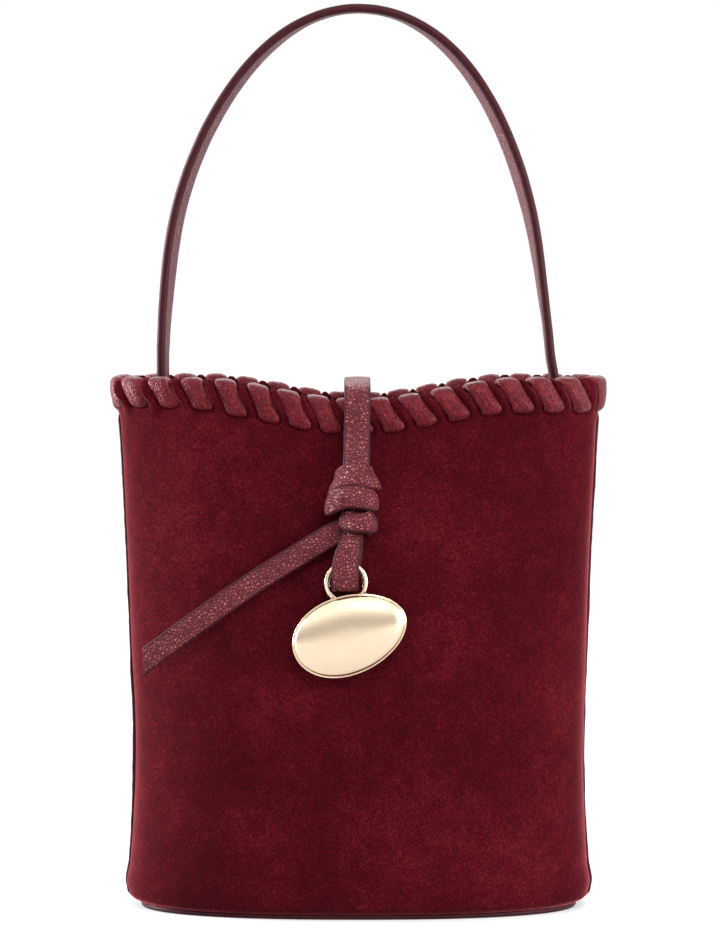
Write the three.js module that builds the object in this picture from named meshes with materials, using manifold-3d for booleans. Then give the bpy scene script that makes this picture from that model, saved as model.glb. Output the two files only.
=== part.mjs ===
// Laced bucket bag. Millimetres, +X to the bag's right, the front faces -Y, +Z up.
// The origin is the centre of the base's underside, which is the face the bag stands on.
import * as THREE from 'three';
import { mergeVertices } from 'three/addons/utils/BufferGeometryUtils.js';
import Module from 'manifold-3d';

const wasm = await Module();
wasm.setup();

// ---- Driving dimensions -------------------------------------------------------------------

// Outer face of the suede wall: [height, half width, half depth].
const WALL_PROFILE = [
  [2.5, 99.0, 47.8],
  [3.8, 101.8, 49.6],
  [8, 104.0, 51.0],
  [20, 103.0, 51.4],
  [45, 101.5, 51.0],
  [90, 101.3, 48.8],
  [118, 102.4, 46.9],
  [145, 103.3, 44.8],
  [172, 104.5, 42.5],
  [208, 107.3, 38.6],
  [236, 109.6, 35.8],
];
const PLAN_POWER = 2.4;
const WALL_BOTTOM = 2.5;
const RIM_SIDE = 235.5;
const RIM_DIP = 9;
const RIM_DIP_HALF = 72;

const SUEDE = 1.6;
const LINING = 0.8;
const GAP = 0.3;
const LINING_FACE = SUEDE + GAP;
const WALL_STACK = LINING_FACE + LINING;
const LINING_BOTTOM = 6.0;
const SEAM_HALF = 1.0;

const STRIP_HALF = 0.7;
const STRIP_PROUD = 1.1;
const STRIP_FLUSH_FROM = 213;

const BASE = { width: 98.2, depth: 47.2, thick: 2.2, round: 0.5 };
const BOARD = { bottom: 2.5, top: 4.5, inset: 3.2 };
const BASE_LINING = { bottom: 4.8, top: 5.6, inset: 3.2 };

const LACE = { wraps: 17, width: 9.6, thick: 2.2, gap: 0.4, insideGap: 0.5, drop: 11.4, lean: 6 };
const SLOT = { length: 10.6, height: 3.0, depth: 12 };

const ARCH = { halfWidth: 90, height: 168.6, base: 236, power: 2.12 };
const HANDLE = { width: 14, layer: 1.2, core: 0.9, gap: 0.3 };
const HANDLE_THICK = 2 * HANDLE.layer + HANDLE.core + 2 * HANDLE.gap;
const HANDLE_PIVOT = 243;
const PATCH = { width: 25, thick: 1.4, bottom: 171.5, top: 191 };

const STRAP = { width: 11.2, thick: 2.0 };
const CLOSURE_PIVOT = { y: 41.9, z: 219.5 };

const KNOT = { x: -1.75, y: -48.0, halfX: 10.4, halfY: 3.9, power: 3, width: 10.2, thick: 2.0 };
const KNOT_UPPER = 198.3;
const KNOT_LOWER = 187.7;

const RING = { x: -5.5, y: -49.6, z: 150.3, radius: 8.4, wire: 1.35 };
const CHARM = {
  x: -4.3, y: -53.9, z: 127.3, halfLong: 25.9, halfShort: 17.35,
  tilt: 21, front: 5.5, back: 3.8, wall: 1.0, seam: 0.15,
};
const EYELET = { radius: 2.7, wire: 0.95 };

// ---- Small helpers ------------------------------------------------------------------------

const vec = (x, y, z) => new THREE.Vector3(x, y, z);
const lerp = (a, b, t) => a + (b - a) * t;

function tableAt(rows, z, column) {
  if (z <= rows[0][0]) return rows[0][column];
  for (let i = 1; i < rows.length; i++) {
    const [a, b] = [rows[i - 1], rows[i]];
    if (z <= b[0]) return lerp(a[column], b[column], (z - a[0]) / (b[0] - a[0]));
  }
  return rows[rows.length - 1][column];
}

function signedVolume(points, faces) {
  let sum = 0;
  for (const [a, b, c] of faces) {
    sum += points[a].dot(points[b].clone().cross(points[c]));
  }
  return sum / 6;
}

// A closed body from points and triangles, turned so that its faces point outwards.
function body(points, faces) {
  const out = signedVolume(points, faces) > 0;
  const index = faces.flatMap(([a, b, c]) => (out ? [a, b, c] : [a, c, b]));
  const geometry = new THREE.BufferGeometry();
  geometry.setAttribute(
    'position',
    new THREE.Float32BufferAttribute(points.flatMap((p) => [p.x, p.y, p.z]), 3),
  );
  geometry.setIndex(index);
  return geometry;
}

// Skins closed sections of equal point count, one after the other, with a cap at each end.
function loft(sections) {
  const n = sections[0].length;
  const points = sections.flat();
  const faces = [];
  for (let i = 0; i + 1 < sections.length; i++) {
    for (let j = 0; j < n; j++) {
      const [a, b] = [i * n + j, i * n + ((j + 1) % n)];
      faces.push([a, b, b + n], [a, b + n, a + n]);
    }
  }
  const last = (sections.length - 1) * n;
  for (let j = 1; j + 1 < n; j++) {
    faces.push([0, j + 1, j], [last, last + j, last + j + 1]);
  }
  return body(points, faces);
}

// A thick sheet between two grids of points with the same layout.
function sheet(outer, inner) {
  const rows = outer.length;
  const columns = outer[0].length;
  const points = [...outer.flat(), ...inner.flat()];
  const half = rows * columns;
  const at = (i, j) => i * columns + j;
  const faces = [];
  const quad = (a, b, c, d) => faces.push([a, b, c], [a, c, d]);
  for (let i = 0; i + 1 < rows; i++) {
    for (let j = 0; j + 1 < columns; j++) {
      const [a, b, c, d] = [at(i, j), at(i, j + 1), at(i + 1, j + 1), at(i + 1, j)];
      quad(a, b, c, d);
      quad(half + a, half + d, half + c, half + b);
    }
    const [low, high] = [at(i, 0), at(i + 1, 0)];
    quad(low, high, half + high, half + low);
    const [lowEnd, highEnd] = [at(i, columns - 1), at(i + 1, columns - 1)];
    quad(lowEnd, half + lowEnd, half + highEnd, highEnd);
  }
  for (let j = 0; j + 1 < columns; j++) {
    quad(at(0, j), half + at(0, j), half + at(0, j + 1), at(0, j + 1));
    const [left, right] = [at(rows - 1, j), at(rows - 1, j + 1)];
    quad(left, right, half + right, half + left);
  }
  return body(points, faces);
}

function toManifold(geometry) {
  const bare = geometry.clone();
  bare.deleteAttribute('normal');
  bare.deleteAttribute('uv');
  const merged = mergeVertices(bare, 1e-4);
  return new wasm.Manifold(new wasm.Mesh({
    numProp: 3,
    vertProperties: new Float32Array(merged.attributes.position.array),
    triVerts: new Uint32Array(merged.index.array),
  }));
}

function fromManifold(solid) {
  const mesh = solid.getMesh();
  const geometry = new THREE.BufferGeometry();
  geometry.setAttribute('position', new THREE.Float32BufferAttribute(mesh.vertProperties, 3));
  geometry.setIndex(Array.from(mesh.triVerts));
  return geometry;
}

function cut(geometry, tools) {
  let solid = toManifold(geometry);
  for (const tool of tools) solid = solid.subtract(toManifold(tool));
  return fromManifold(solid);
}

function join(geometry, other) {
  return fromManifold(toManifold(geometry).add(toManifold(other)));
}

// ---- The bag wall as a surface ------------------------------------------------------------

// Point on the wall at a plan angle and height, `out` mm outside the suede's outer face.
// The plan angle runs from 0 at the right seam through -90 degrees at the front.
function wallPoint(angle, z, out) {
  const width = tableAt(WALL_PROFILE, z, 1);
  const depth = tableAt(WALL_PROFILE, z, 2);
  const [c, s] = [Math.cos(angle), Math.sin(angle)];
  const x = width * Math.sign(c) * Math.abs(c) ** (2 / PLAN_POWER);
  const y = depth * Math.sign(s) * Math.abs(s) ** (2 / PLAN_POWER);
  const nx = Math.sign(x) * Math.abs(x / width) ** (PLAN_POWER - 1) / width;
  const ny = Math.sign(y) * Math.abs(y / depth) ** (PLAN_POWER - 1) / depth;
  const length = Math.hypot(nx, ny);
  return vec(x + (out * nx) / length, y + (out * ny) / length, z);
}

function rimHeight(x) {
  if (Math.abs(x) >= RIM_DIP_HALF) return RIM_SIDE;
  return RIM_SIDE - RIM_DIP * 0.5 * (1 + Math.cos((Math.PI * x) / RIM_DIP_HALF));
}

// Plan angles against arc length round the rim, from the left seam along the front.
const RIM_TABLE = (() => {
  const steps = 4000;
  const rows = [];
  let length = 0;
  let previous = null;
  for (let i = 0; i <= steps; i++) {
    const angle = -Math.PI + (2 * Math.PI * i) / steps;
    const point = wallPoint(angle, RIM_SIDE, 0);
    if (previous) length += point.distanceTo(previous);
    rows.push([length, angle]);
    previous = point;
  }
  return rows;
})();
const RIM_LENGTH = RIM_TABLE[RIM_TABLE.length - 1][0];
const PITCH = RIM_LENGTH / (2 * LACE.wraps);

function rimAngle(length) {
  const wrapped = ((length % RIM_LENGTH) + RIM_LENGTH) % RIM_LENGTH;
  return tableAt(RIM_TABLE, wrapped, 1);
}

// Point by arc length round the rim, distance outside the wall and height above the rim.
function rimPoint(length, out, above) {
  const angle = rimAngle(length);
  const x = wallPoint(angle, RIM_SIDE, 0).x;
  return wallPoint(angle, rimHeight(x) + above, out);
}

// Plan angles of the panel's columns, closer together where the wall turns tightly.
function panelAngles() {
  const fine = 1200;
  const weights = [0];
  let previous = wallPoint(-Math.PI, RIM_SIDE, 0);
  let heading = null;
  for (let i = 1; i <= fine; i++) {
    const point = wallPoint(-Math.PI + (Math.PI * i) / fine, RIM_SIDE, 0);
    const way = Math.atan2(point.y - previous.y, point.x - previous.x);
    const turn = heading === null ? 0 : Math.abs(way - heading);
    weights.push(weights[i - 1] + point.distanceTo(previous) / 13 + turn / 0.19);
    heading = way;
    previous = point;
  }
  const total = weights[fine];
  const columns = Math.round(total);
  const angles = [];
  for (let k = 1; k < columns; k++) {
    const i = weights.findIndex((w) => w >= (total * k) / columns);
    angles.push(-Math.PI + (Math.PI * i) / fine);
  }
  return angles;
}
const PANEL_ANGLES = panelAngles();

// Heights of the panel's rows, with the upper ones following the dipped rim.
function rowHeight(row, x) {
  const blendFrom = 172;
  if (row <= blendFrom) return row;
  return row + ((rimHeight(x) - RIM_SIDE) * (row - blendFrom)) / (RIM_SIDE - blendFrom);
}

function wallGrid(out, bottom) {
  const rows = WALL_PROFILE.map((row) => row[0]).filter((z) => z > bottom && z < RIM_SIDE);
  return [bottom, ...rows, RIM_SIDE].map((row) => {
    const seam = (side) => {
      const width = tableAt(WALL_PROFILE, row, 1);
      const depth = tableAt(WALL_PROFILE, row, 2);
      const reach = width * (1 - (SEAM_HALF / depth) ** PLAN_POWER) ** (1 / PLAN_POWER);
      return vec(side * (reach + out), -SEAM_HALF, row);
    };
    const middle = PANEL_ANGLES.map((angle) => {
      const x = wallPoint(angle, RIM_SIDE, 0).x;
      return wallPoint(angle, rowHeight(row, x), out);
    });
    return [seam(-1), ...middle, seam(1)];
  });
}

function slotTools() {
  const tools = [];
  for (let k = 0; k < LACE.wraps; k++) {
    const at = (k + 0.5) * PITCH;
    const centre = rimPoint(at, -WALL_STACK / 2, -LACE.drop);
    const along = rimPoint(at + 2, 0, -LACE.drop).sub(rimPoint(at - 2, 0, -LACE.drop)).normalize();
    const through = vec(-along.y, along.x, 0).normalize();
    const frame = new THREE.Matrix4().makeBasis(along, through, along.clone().cross(through));
    const tool = new THREE.BoxGeometry(SLOT.length, SLOT.depth, SLOT.height);
    tool.applyMatrix4(frame.setPosition(centre));
    tools.push(tool);
  }
  return tools;
}

function panel(outerFace, thickness, bottom) {
  const grid = sheet(wallGrid(-outerFace, bottom), wallGrid(-outerFace - thickness, bottom));
  return cut(grid, slotTools());
}

function turned(geometry) {
  return geometry.clone().rotateZ(Math.PI);
}

// ---- Bag body -----------------------------------------------------------------------------

function planSection(width, depth, z, count = 56) {
  return Array.from({ length: count }, (_, i) => {
    const angle = (2 * Math.PI * i) / count;
    const [c, s] = [Math.cos(angle), Math.sin(angle)];
    return vec(
      width * Math.sign(c) * Math.abs(c) ** (2 / PLAN_POWER),
      depth * Math.sign(s) * Math.abs(s) ** (2 / PLAN_POWER),
      z,
    );
  });
}

function basePanel() {
  const { width, depth, thick, round } = BASE;
  return loft([
    planSection(width - round, depth - round, 0),
    planSection(width, depth, round),
    planSection(width, depth, thick - round),
    planSection(width - round, depth - round, thick),
  ]);
}

function insetPlate({ bottom, top, inset }) {
  const width = tableAt(WALL_PROFILE, bottom, 1) - inset;
  const depth = tableAt(WALL_PROFILE, bottom, 2) - inset;
  return loft([planSection(width, depth, bottom), planSection(width, depth, top)]);
}

// Edge-painted strip set on edge in the side seam; it stands proud below the lacing.
function seamStrip(side) {
  const heights = [2.6, 3.8, 8, 20, 45, 90, 118, 145, 172, 200, STRIP_FLUSH_FROM - 5, STRIP_FLUSH_FROM, 235.1];
  return loft(heights.map((z) => {
    const face = tableAt(WALL_PROFILE, z, 1);
    const proud = z < STRIP_FLUSH_FROM - 4 ? STRIP_PROUD : -0.1;
    const [inner, outer] = [face - WALL_STACK, face + proud];
    return [
      vec(side * inner, -STRIP_HALF, z),
      vec(side * (outer - 0.4), -STRIP_HALF, z),
      vec(side * outer, -STRIP_HALF * 0.4, z),
      vec(side * outer, STRIP_HALF * 0.4, z),
      vec(side * (outer - 0.4), STRIP_HALF, z),
      vec(side * inner, STRIP_HALF, z),
    ];
  }));
}

// ---- Rim lacing ---------------------------------------------------------------------------

// One wrap in section, as [distance outside the wall, height above the rim, share of the lean].
// It runs over the rim, down outside, in through the slot and up again inside.
function laceLoop() {
  const outside = LACE.gap + LACE.thick / 2;
  const inside = LACE.insideGap + LACE.thick / 2;
  const diagonal = Math.SQRT1_2;
  const slotTop = -LACE.drop + outside;
  return {
    down: [
      [0, outside, 0],
      [outside * diagonal, outside * diagonal, 0],
      [outside, 0, 0],
      [outside + 0.5, slotTop / 2, 0.5],
      [outside, slotTop, 1],
      [outside * diagonal, slotTop - outside * diagonal, 1],
      [0, -LACE.drop, 1],
      [-WALL_STACK, -LACE.drop, 1],
    ],
    up: [
      [-WALL_STACK - inside * diagonal, slotTop - inside * diagonal, 1],
      [-WALL_STACK - inside, slotTop, 1],
      [-WALL_STACK - inside, 0, 2],
      [-WALL_STACK - inside * diagonal, inside * diagonal, 2],
      [-WALL_STACK, inside, 2],
    ],
    start: [
      [-WALL_STACK - inside, -LACE.drop + 3.3, 1.15],
      [-WALL_STACK - inside, 0, 2],
      [-WALL_STACK - inside * diagonal, inside * diagonal, 2],
      [-WALL_STACK, inside, 2],
    ],
    finish: [
      [-WALL_STACK - inside * diagonal - 0.3, -LACE.drop - 0.6, 1],
      [-WALL_STACK - inside - 0.4, -LACE.drop - 2, 1],
      [-WALL_STACK - inside - 0.4, -LACE.drop - 7.5, 1],
    ],
  };
}

function rimLace() {
  const loop = laceLoop();
  const stations = [];
  const place = (wrap, list) => {
    for (const [out, above, lean] of list) {
      const hole = (wrap + 0.5) * PITCH;
      const at = lean <= 1 ? hole - LACE.lean * (1 - lean) : hole + (PITCH - LACE.lean) * (lean - 1);
      stations.push({ at, out, above });
    }
  };
  place(-1, loop.start);
  for (let k = 0; k < LACE.wraps; k++) {
    place(k, loop.down);
    if (k + 1 < LACE.wraps) place(k, loop.up);
  }
  place(LACE.wraps - 1, loop.finish);
  const sections = stations.map((station, i) => {
    const before = stations[Math.max(i - 1, 0)];
    const after = stations[Math.min(i + 1, stations.length - 1)];
    const unit = (from, to) => {
      const way = [to.out - from.out, to.above - from.above];
      const length = Math.hypot(...way) || 1;
      return way.map((part) => part / length);
    };
    const [a, b] = [unit(before, station), unit(station, after)];
    const way = [a[0] + b[0], a[1] + b[1]];
    const length = Math.hypot(...way);
    const side = [(LACE.thick / 2) * (way[1] / length), (-LACE.thick / 2) * (way[0] / length)];
    const corner = (sign, across) => rimPoint(
      station.at + across * LACE.width,
      station.out + sign * side[0],
      station.above + sign * side[1],
    );
    return [corner(1, -0.5), corner(1, 0), corner(1, 0.5), corner(-1, 0.5), corner(-1, -0.5)];
  });
  return loft(sections);
}

// ---- Straps as ribbons --------------------------------------------------------------------

// A flat ribbon through stations { at, across, width }, `thick` mm thick.
function ribbon(stations, thick) {
  const sections = stations.map((station, i) => {
    const before = stations[Math.max(i - 1, 0)].at;
    const after = stations[Math.min(i + 1, stations.length - 1)].at;
    const way = station.at.clone().sub(before).normalize();
    way.add(after.clone().sub(station.at).normalize()).normalize();
    const across = station.across.clone().normalize();
    const up = way.clone().cross(across).normalize().multiplyScalar(thick / 2);
    across.multiplyScalar(station.width / 2);
    const corner = (s, t) => station.at.clone().addScaledVector(across, s).addScaledVector(up, t);
    return [corner(-1, -1), corner(1, -1), corner(1, 1), corner(-1, 1)];
  });
  return loft(sections);
}

const X_AXIS = vec(1, 0, 0);

// ---- Handle -------------------------------------------------------------------------------

// Points on the arch, `inward` mm inside its outer face, from the left leg to the right.
function archPoints(inward, fromZ, count) {
  const point = (t) => {
    const [c, s] = [Math.cos(t), Math.sin(t)];
    return vec(
      -ARCH.halfWidth * Math.sign(c) * Math.abs(c) ** (2 / ARCH.power),
      0,
      ARCH.base + ARCH.height * Math.abs(s) ** (2 / ARCH.power),
    );
  };
  const start = Math.asin(((fromZ - ARCH.base) / ARCH.height) ** (ARCH.power / 2));
  return Array.from({ length: count }, (_, i) => {
    const t = lerp(start, Math.PI - start, i / (count - 1));
    const way = point(Math.min(t + 1e-3, Math.PI)).sub(point(Math.max(t - 1e-3, 0))).normalize();
    const inside = vec(way.z, 0, -way.x);
    return { at: point(t).addScaledVector(inside, inward), inside };
  });
}

// A leather layer of the handle with both ends rounded about the pivot line.
function handleLayer(inward) {
  const half = HANDLE.width / 2;
  const centres = archPoints(inward + HANDLE.layer / 2, HANDLE_PIVOT, 41);
  const section = (at, inside, reach) => {
    const out = inside.clone().multiplyScalar(HANDLE.layer / 2);
    const corner = (side, face) => at.clone().addScaledVector(out, face).add(vec(0, side * reach, 0));
    return [corner(-1, -1), corner(1, -1), corner(1, 1), corner(-1, 1)];
  };
  const rounded = (end) => [0.98, 0.85, 0.6, 0.3].map((share) => {
    const down = vec(0, 0, -half * share);
    return section(end.at.clone().add(down), end.inside, half * Math.sqrt(1 - share ** 2));
  });
  const [first, last] = [centres[0], centres[centres.length - 1]];
  return loft([
    ...rounded(first),
    ...centres.map(({ at, inside }) => section(at, inside, half)),
    ...rounded(last).reverse(),
  ]);
}

function handleCore() {
  const inward = HANDLE.layer + HANDLE.gap + HANDLE.core / 2;
  const from = HANDLE_PIVOT + HANDLE.width / 2 + 0.6;
  const stations = archPoints(inward, from, 33).map(({ at }) => ({
    at, across: vec(0, 1, 0), width: HANDLE.width - 2,
  }));
  return ribbon(stations, HANDLE.core);
}

// Centre line of the strap end that is sewn to the side wall: [distance from the middle, height].
const HANDLE_END_LINE = [
  [98.6, 173],
  [99.2, 182],
  [99.4, 190],
  [98.0, 199],
  [94.2, 209],
  [90.0, 219],
  [88.2, 227],
  [88.05, 235],
];

function handleEnd(side) {
  const thick = ribbon(
    HANDLE_END_LINE.map(([x, z]) => ({ at: vec(side * x, 0, z), across: vec(0, 1, 0), width: HANDLE.width })),
    HANDLE_THICK,
  );
  const half = HANDLE.width / 2;
  const tongueX = archPoints(HANDLE.layer + HANDLE.gap + HANDLE.core / 2, HANDLE_PIVOT, 3)[0].at.x;
  const round = [0.3, 0.6, 0.85, 0.98].map((share) => ({
    at: vec(-side * tongueX, 0, HANDLE_PIVOT + half * share),
    across: vec(0, 1, 0),
    width: HANDLE.width * Math.sqrt(1 - share ** 2),
  }));
  const tongue = ribbon([
    { at: vec(-side * tongueX, 0, 234), across: vec(0, 1, 0), width: HANDLE.width },
    { at: vec(-side * tongueX, 0, HANDLE_PIVOT), across: vec(0, 1, 0), width: HANDLE.width },
    ...round,
  ], HANDLE.core);
  return join(thick, tongue);
}

// Leather patch laid over the sewn strap end, inside the bag.
function handlePatch(side) {
  const stations = HANDLE_END_LINE.filter(([, z]) => z <= PATCH.top).map(([x, z]) => ({
    at: vec(side * (x - HANDLE_THICK / 2 - GAP - PATCH.thick / 2), 0, z),
    across: vec(0, 1, 0),
    width: PATCH.width,
  }));
  return ribbon(stations, PATCH.thick);
}

// ---- Closure strap, knot, ring and charm --------------------------------------------------

function alongStrap(points) {
  return points.map(([x, y, z]) => ({ at: vec(x, y, z), across: X_AXIS, width: STRAP.width }));
}

// Fixed end, sewn to the back panel and carried out over the lacing.
function closureAnchor() {
  return ribbon(alongStrap([
    [-0.6, 45.1, 160],
    [-0.6, 43.9, 172],
    [-0.6, 41.2, 200],
    [-0.6, 41.3, 206],
    [-0.6, 41.9, 211],
    [-0.6, 41.9, 217.6],
  ]), STRAP.thick);
}

// Moving part: over the rim, down through the knot, round the ring and back up into the knot.
function closureStrap() {
  const { y, z } = CLOSURE_PIVOT;
  const fold = { y: -50.6, z: 152.1, r: 3.7 };
  const foldPoints = [20, 50, 80, 110, 140, 165].map((degrees) => {
    const turn = THREE.MathUtils.degToRad(degrees);
    return [-5.9, fold.y - fold.r * Math.cos(turn), fold.z - fold.r * Math.sin(turn)];
  });
  return ribbon(alongStrap([
    [-0.6, y, z - 0.9],
    [-0.6, y, 226],
    [-0.6, 40.8, 230.4],
    [-0.6, 37.8, 233.2],
    [-0.6, 20, 235.6],
    [-0.6, 0, 236.3],
    [-0.6, -20, 235.8],
    [-0.6, -37.2, 234.6],
    [-0.6, -41.0, 232.6],
    [-0.6, -42.4, 229],
    [-0.7, -43.6, 218],
    [-0.8, -46.0, 210],
    [-0.9, -48.4, 204.5],
    [-1.1, -49.0, 199],
    [-1.3, -49.0, 187],
    [-2.0, -49.2, 179],
    [-3.6, -50.6, 171.5],
    [-5.2, -53.0, 164.5],
    [-5.9, -54.2, 158],
    ...foldPoints,
    [-5.9, -46.9, 154],
    [-5.8, -46.8, 161],
    [-4.4, -46.6, 169],
    [-2.4, -46.6, 177],
    [-1.5, -46.6, 184],
    [-1.3, -46.6, 193],
  ]), STRAP.thick);
}

// Second strip, wound twice round the strap; its free end leaves low on the left as the tail.
function knotStrip() {
  const upright = vec(0, 0, 1);
  const stations = [];
  const round = (degrees, z) => {
    const turn = THREE.MathUtils.degToRad(degrees);
    const [c, s] = [Math.cos(turn), Math.sin(turn)];
    const power = 2 / KNOT.power;
    stations.push({
      at: vec(
        KNOT.x + KNOT.halfX * Math.sign(c) * Math.abs(c) ** power,
        KNOT.y + KNOT.halfY * Math.sign(s) * Math.abs(s) ** power,
        z,
      ),
      across: upright,
      width: KNOT.width,
    });
  };
  const angles = [152, 168, 180, 192, 208, 235, 270, 305, 332, 348, 360, 372, 388];
  for (const degrees of angles) round(degrees, KNOT_UPPER);
  const descents = [[405, 0.2], [430, 0.5], [455, 0.8], [475, 1]];
  for (const [degrees, share] of descents) round(degrees, lerp(KNOT_UPPER, KNOT_LOWER, share));
  for (const degrees of [492, 512, 528, 540, 552, 568, 595, 630, 665, 692, 708, 720, 732, 748]) {
    round(degrees, KNOT_LOWER);
  }
  for (const [degrees, z] of [[765, 185.2], [790, 181.8], [815, 178.4], [840, 176.2]]) round(degrees, z);
  const leaning = (degrees) => {
    const lean = THREE.MathUtils.degToRad(degrees);
    return vec(-Math.sin(lean), 0, Math.cos(lean));
  };
  const tail = (x, y, z, lean, width = KNOT.width) => {
    stations.push({ at: vec(x, y, z), across: leaning(lean), width });
  };
  tail(-12.8, -44.6, 172.4, 12);
  tail(-20, -45.8, 167.6, 26);
  tail(-34, -46.5, 158.4, 32);
  tail(-51.5, -46.4, 146.4, 34);
  tail(-72, -45.0, 131.4, 36);
  tail(-89, -42.6, 117.9, 33);
  tail(-95, -41.6, 112.5, 3, 12.4);
  return ribbon(stations, KNOT.thick);
}

function charmRing() {
  return new THREE.TorusGeometry(RING.radius, RING.wire, 8, 30)
    .rotateX(Math.PI / 2)
    .translate(RING.x, RING.y, RING.z);
}

// Outline of the pebble, a little more pointed at its upper right end.
function pebbleOutline(angle, share) {
  const point = 1 + 0.035 * Math.cos(angle);
  const x = CHARM.halfLong * share * Math.cos(angle);
  const z = CHARM.halfShort * share * Math.sin(angle) * (2 - point) * (1 - 0.05 * Math.cos(angle));
  const tilt = THREE.MathUtils.degToRad(CHARM.tilt);
  return [
    CHARM.x + x * Math.cos(tilt) - z * Math.sin(tilt),
    CHARM.z + x * Math.sin(tilt) + z * Math.cos(tilt),
  ];
}

// One stamped shell of the pebble: a shallow dish, domed to the front (-1) or the back (+1).
function pebbleShell(facing, depth) {
  const count = 30;
  const rise = (share, height) => height * (1 - share ** 2.6) ** 0.62;
  const seam = CHARM.y + facing * CHARM.seam;
  const ringAt = (share, lift) => Array.from({ length: count }, (_, i) => {
    const [x, z] = pebbleOutline((2 * Math.PI * i) / count, share);
    return vec(x, seam + facing * lift, z);
  });
  const outerShares = [0.3, 0.6, 0.8, 0.92, 0.98, 1];
  const rim = 1 - CHARM.wall / CHARM.halfShort;
  const innerShares = [rim, rim * 0.85, rim * 0.5];
  return loft([
    ...outerShares.map((share) => ringAt(share, rise(share, depth) + 0.5)),
    ringAt(1, 0),
    ...innerShares.map((share, i) => (
      ringAt(share, i === 0 ? 0 : rise(share / rim, depth - CHARM.wall) + 0.3)
    )),
  ]);
}

function charmBack() {
  const eyelet = new THREE.TorusGeometry(EYELET.radius, EYELET.wire, 6, 16)
    .rotateY(Math.PI / 2)
    .translate(RING.x, RING.y, RING.z - RING.radius);
  return join(pebbleShell(1, CHARM.back), eyelet);
}

// ---- Assembly -----------------------------------------------------------------------------

const suede = { color: 0x5b151d, roughness: 0.95, metalness: 0 };
const leather = { color: 0x6e2a32, roughness: 0.55, metalness: 0 };
const edgePaint = { color: 0x3d1418, roughness: 0.45, metalness: 0 };
const liningCloth = { color: 0x6b3a3c, roughness: 0.9, metalness: 0 };
const board = { color: 0x8d8577, roughness: 0.9, metalness: 0 };
const gold = { color: 0xe6cfa6, roughness: 0.12, metalness: 1 };

const bag = new THREE.Group();

function add(name, geometry, finish) {
  const mesh = new THREE.Mesh(geometry, new THREE.MeshStandardMaterial(finish));
  mesh.name = name;
  bag.add(mesh);
}

const suedePanel = panel(0, SUEDE, WALL_BOTTOM);
const liningPanel = panel(LINING_FACE, LINING, LINING_BOTTOM);
const lace = rimLace();

add('front_panel', suedePanel, suede);
add('back_panel', turned(suedePanel), suede);
add('front_lining', liningPanel, liningCloth);
add('back_lining', turned(liningPanel), liningCloth);
add('left_seam_strip', seamStrip(-1), edgePaint);
add('right_seam_strip', seamStrip(1), edgePaint);
add('base_panel', basePanel(), leather);
add('base_board', insetPlate(BOARD), board);
add('base_lining', insetPlate(BASE_LINING), liningCloth);
add('front_rim_lace', lace, leather);
add('back_rim_lace', turned(lace), leather);
add('handle_outer_layer', handleLayer(0), leather);
add('handle_inner_layer', handleLayer(HANDLE_THICK - HANDLE.layer), leather);
add('handle_core', handleCore(), board);
add('handle_end_left', handleEnd(-1), leather);
add('handle_end_right', handleEnd(1), leather);
add('handle_patch_left', handlePatch(-1), leather);
add('handle_patch_right', handlePatch(1), leather);
add('closure_anchor', closureAnchor(), leather);
add('closure_strap', closureStrap(), leather);
add('knot_strip', knotStrip(), leather);
add('charm_ring', charmRing(), gold);
add('charm_front_shell', pebbleShell(-1, CHARM.front), gold);
add('charm_back_shell', charmBack(), gold);

export default bag;
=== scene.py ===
"""Looks for a laced suede bucket bag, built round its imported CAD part. Metres, in the CAD's frame."""

import math
import random

import bmesh
import bpy
import numpy as np
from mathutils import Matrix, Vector, noise


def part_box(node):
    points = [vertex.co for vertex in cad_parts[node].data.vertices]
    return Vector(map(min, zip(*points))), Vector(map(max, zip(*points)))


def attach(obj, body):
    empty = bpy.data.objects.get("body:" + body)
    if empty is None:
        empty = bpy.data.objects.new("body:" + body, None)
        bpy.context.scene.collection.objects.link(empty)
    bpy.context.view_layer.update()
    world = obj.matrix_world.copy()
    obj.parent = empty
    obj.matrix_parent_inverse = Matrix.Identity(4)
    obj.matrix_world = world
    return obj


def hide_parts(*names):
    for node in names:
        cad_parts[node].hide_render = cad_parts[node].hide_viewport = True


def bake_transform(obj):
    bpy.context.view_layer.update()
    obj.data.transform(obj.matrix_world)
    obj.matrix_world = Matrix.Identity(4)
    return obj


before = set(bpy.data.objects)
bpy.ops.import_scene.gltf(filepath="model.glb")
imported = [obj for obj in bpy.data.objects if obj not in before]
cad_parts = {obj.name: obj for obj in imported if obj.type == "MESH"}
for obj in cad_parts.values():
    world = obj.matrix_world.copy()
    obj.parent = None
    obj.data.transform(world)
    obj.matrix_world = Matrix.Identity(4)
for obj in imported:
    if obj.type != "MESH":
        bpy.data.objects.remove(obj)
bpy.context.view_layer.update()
random.seed(7)

MM = 0.001

# ---- Driving dimensions, in millimetres in the CAD's frame ----

# Outer face of the suede wall: height, half width, half depth.
WALL_PROFILE = np.array([
    (2.5, 99.0, 47.8),
    (3.8, 101.8, 49.6),
    (8, 104.0, 51.0),
    (20, 103.0, 51.4),
    (45, 101.5, 51.0),
    (90, 101.3, 48.8),
    (118, 102.4, 46.9),
    (145, 103.3, 44.8),
    (172, 104.5, 42.5),
    (208, 106.3, 38.6),
    (236, 108.2, 35.8),
])
PLAN_POWER = 2.4
PLAN_COLUMNS = 240
WALL_BOTTOM, WALL_TOP = WALL_PROFILE[0, 0], WALL_PROFILE[-1, 0]
RIM_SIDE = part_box("front_panel")[1].z / MM
RIM_DIP = 9.0
RIM_DIP_HALF = 72.0
WALL_STACK = 2.7
SEAM_HALF = 1.0
SEAM_STRIP_TOP = 219.0
LINING_FOOT = 6.2
LINING_DROP = 17.0

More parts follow.
